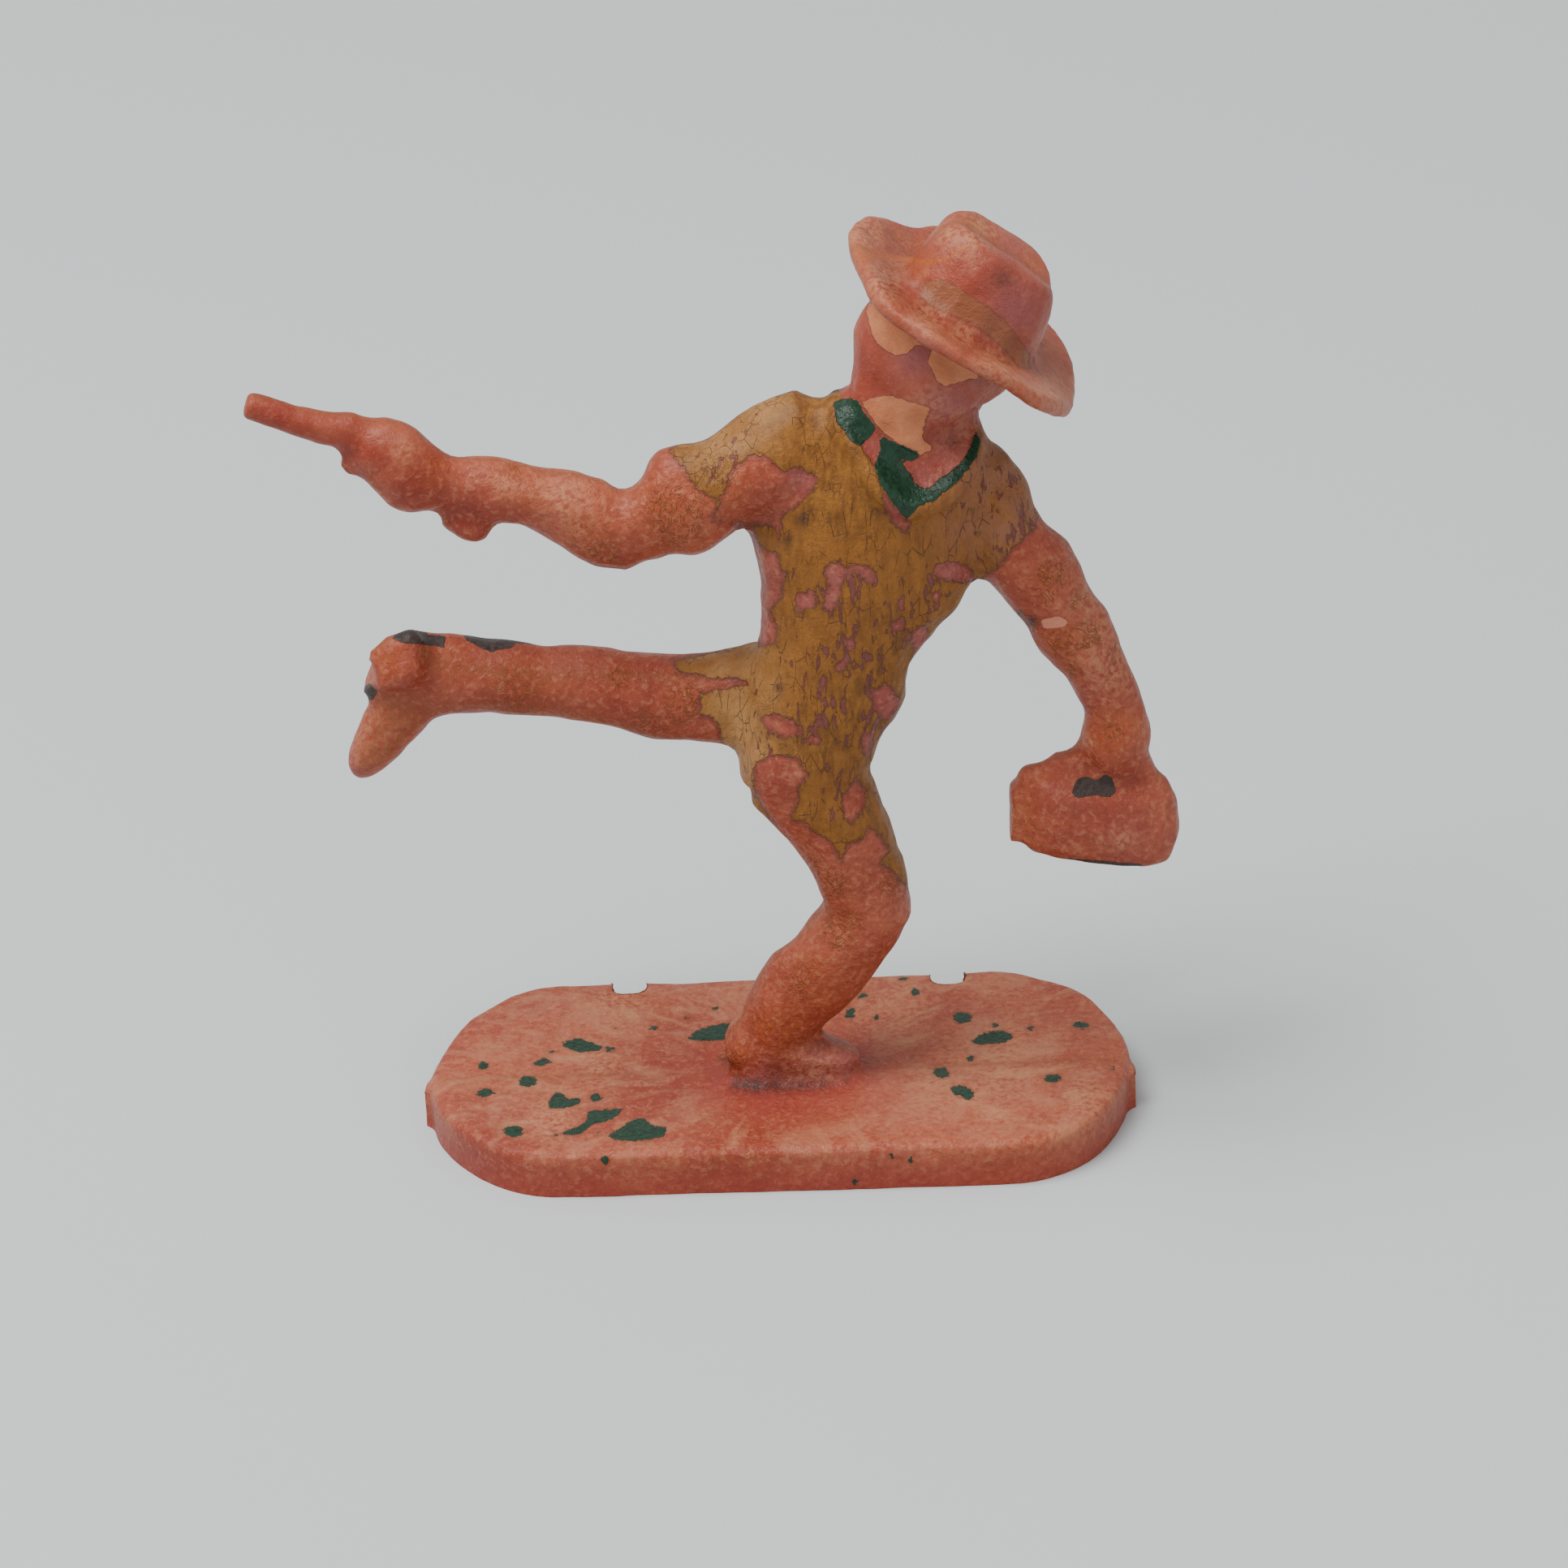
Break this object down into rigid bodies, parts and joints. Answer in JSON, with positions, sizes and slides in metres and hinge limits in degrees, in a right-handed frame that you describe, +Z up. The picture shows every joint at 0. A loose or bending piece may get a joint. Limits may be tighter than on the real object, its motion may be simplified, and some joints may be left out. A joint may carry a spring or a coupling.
{
  "type": "toy cowboy figure",
  "caption": "Moulded plastic toy cowboy running with a pistol held out and a bag in the other hand, standing on a long flat base, paint worn.",
  "frame": {"origin": "centre of the flat underside of the base", "axes": "+Z up; +X along the base's long side, from the pistol towards the bag; +Y away from the viewer, so the chest faces -Y"},
  "size_m": [0.0512, 0.0206, 0.0553],
  "materials": {
    "pink_plastic": "waxy, satin, stained with age",
    "ochre_painted_plastic": "satin paint, cracked and flaking",
    "green_painted_plastic": "thick glossy paint, worn"
  },
  "bodies": {
    "root": {"base_plate": "pink_plastic", "standing_boot_foot": "pink_plastic", "standing_boot_shaft": "pink_plastic", "trailing_trouser_leg": "pink_plastic", "trailing_boot_shaft": "pink_plastic", "trailing_boot_foot": "pink_plastic", "trailing_boot_heel": "pink_plastic", "pistol_arm_cuff": "pink_plastic", "pistol_arm_forearm": "pink_plastic", "pistol_hand": "pink_plastic", "pistol_barrel": "pink_plastic", "pistol_frame": "pink_plastic", "pistol_butt": "pink_plastic", "bag_arm_cuff": "pink_plastic", "bag_arm_forearm": "pink_plastic", "bag_hand": "pink_plastic", "bag_body": "pink_plastic", "bag_frame": "pink_plastic", "bag_end_gusset": "pink_plastic", "neck": "pink_plastic", "head": "pink_plastic", "hat_brim": "pink_plastic", "hat_crown": "pink_plastic", "standing_trouser_leg": "ochre_painted_plastic", "trousers_seat": "ochre_painted_plastic", "shirt_body": "ochre_painted_plastic", "pistol_arm_sleeve": "ochre_painted_plastic", "bag_arm_sleeve": "ochre_painted_plastic", "neckerchief": "green_painted_plastic"}
  },
  "joints": []
}
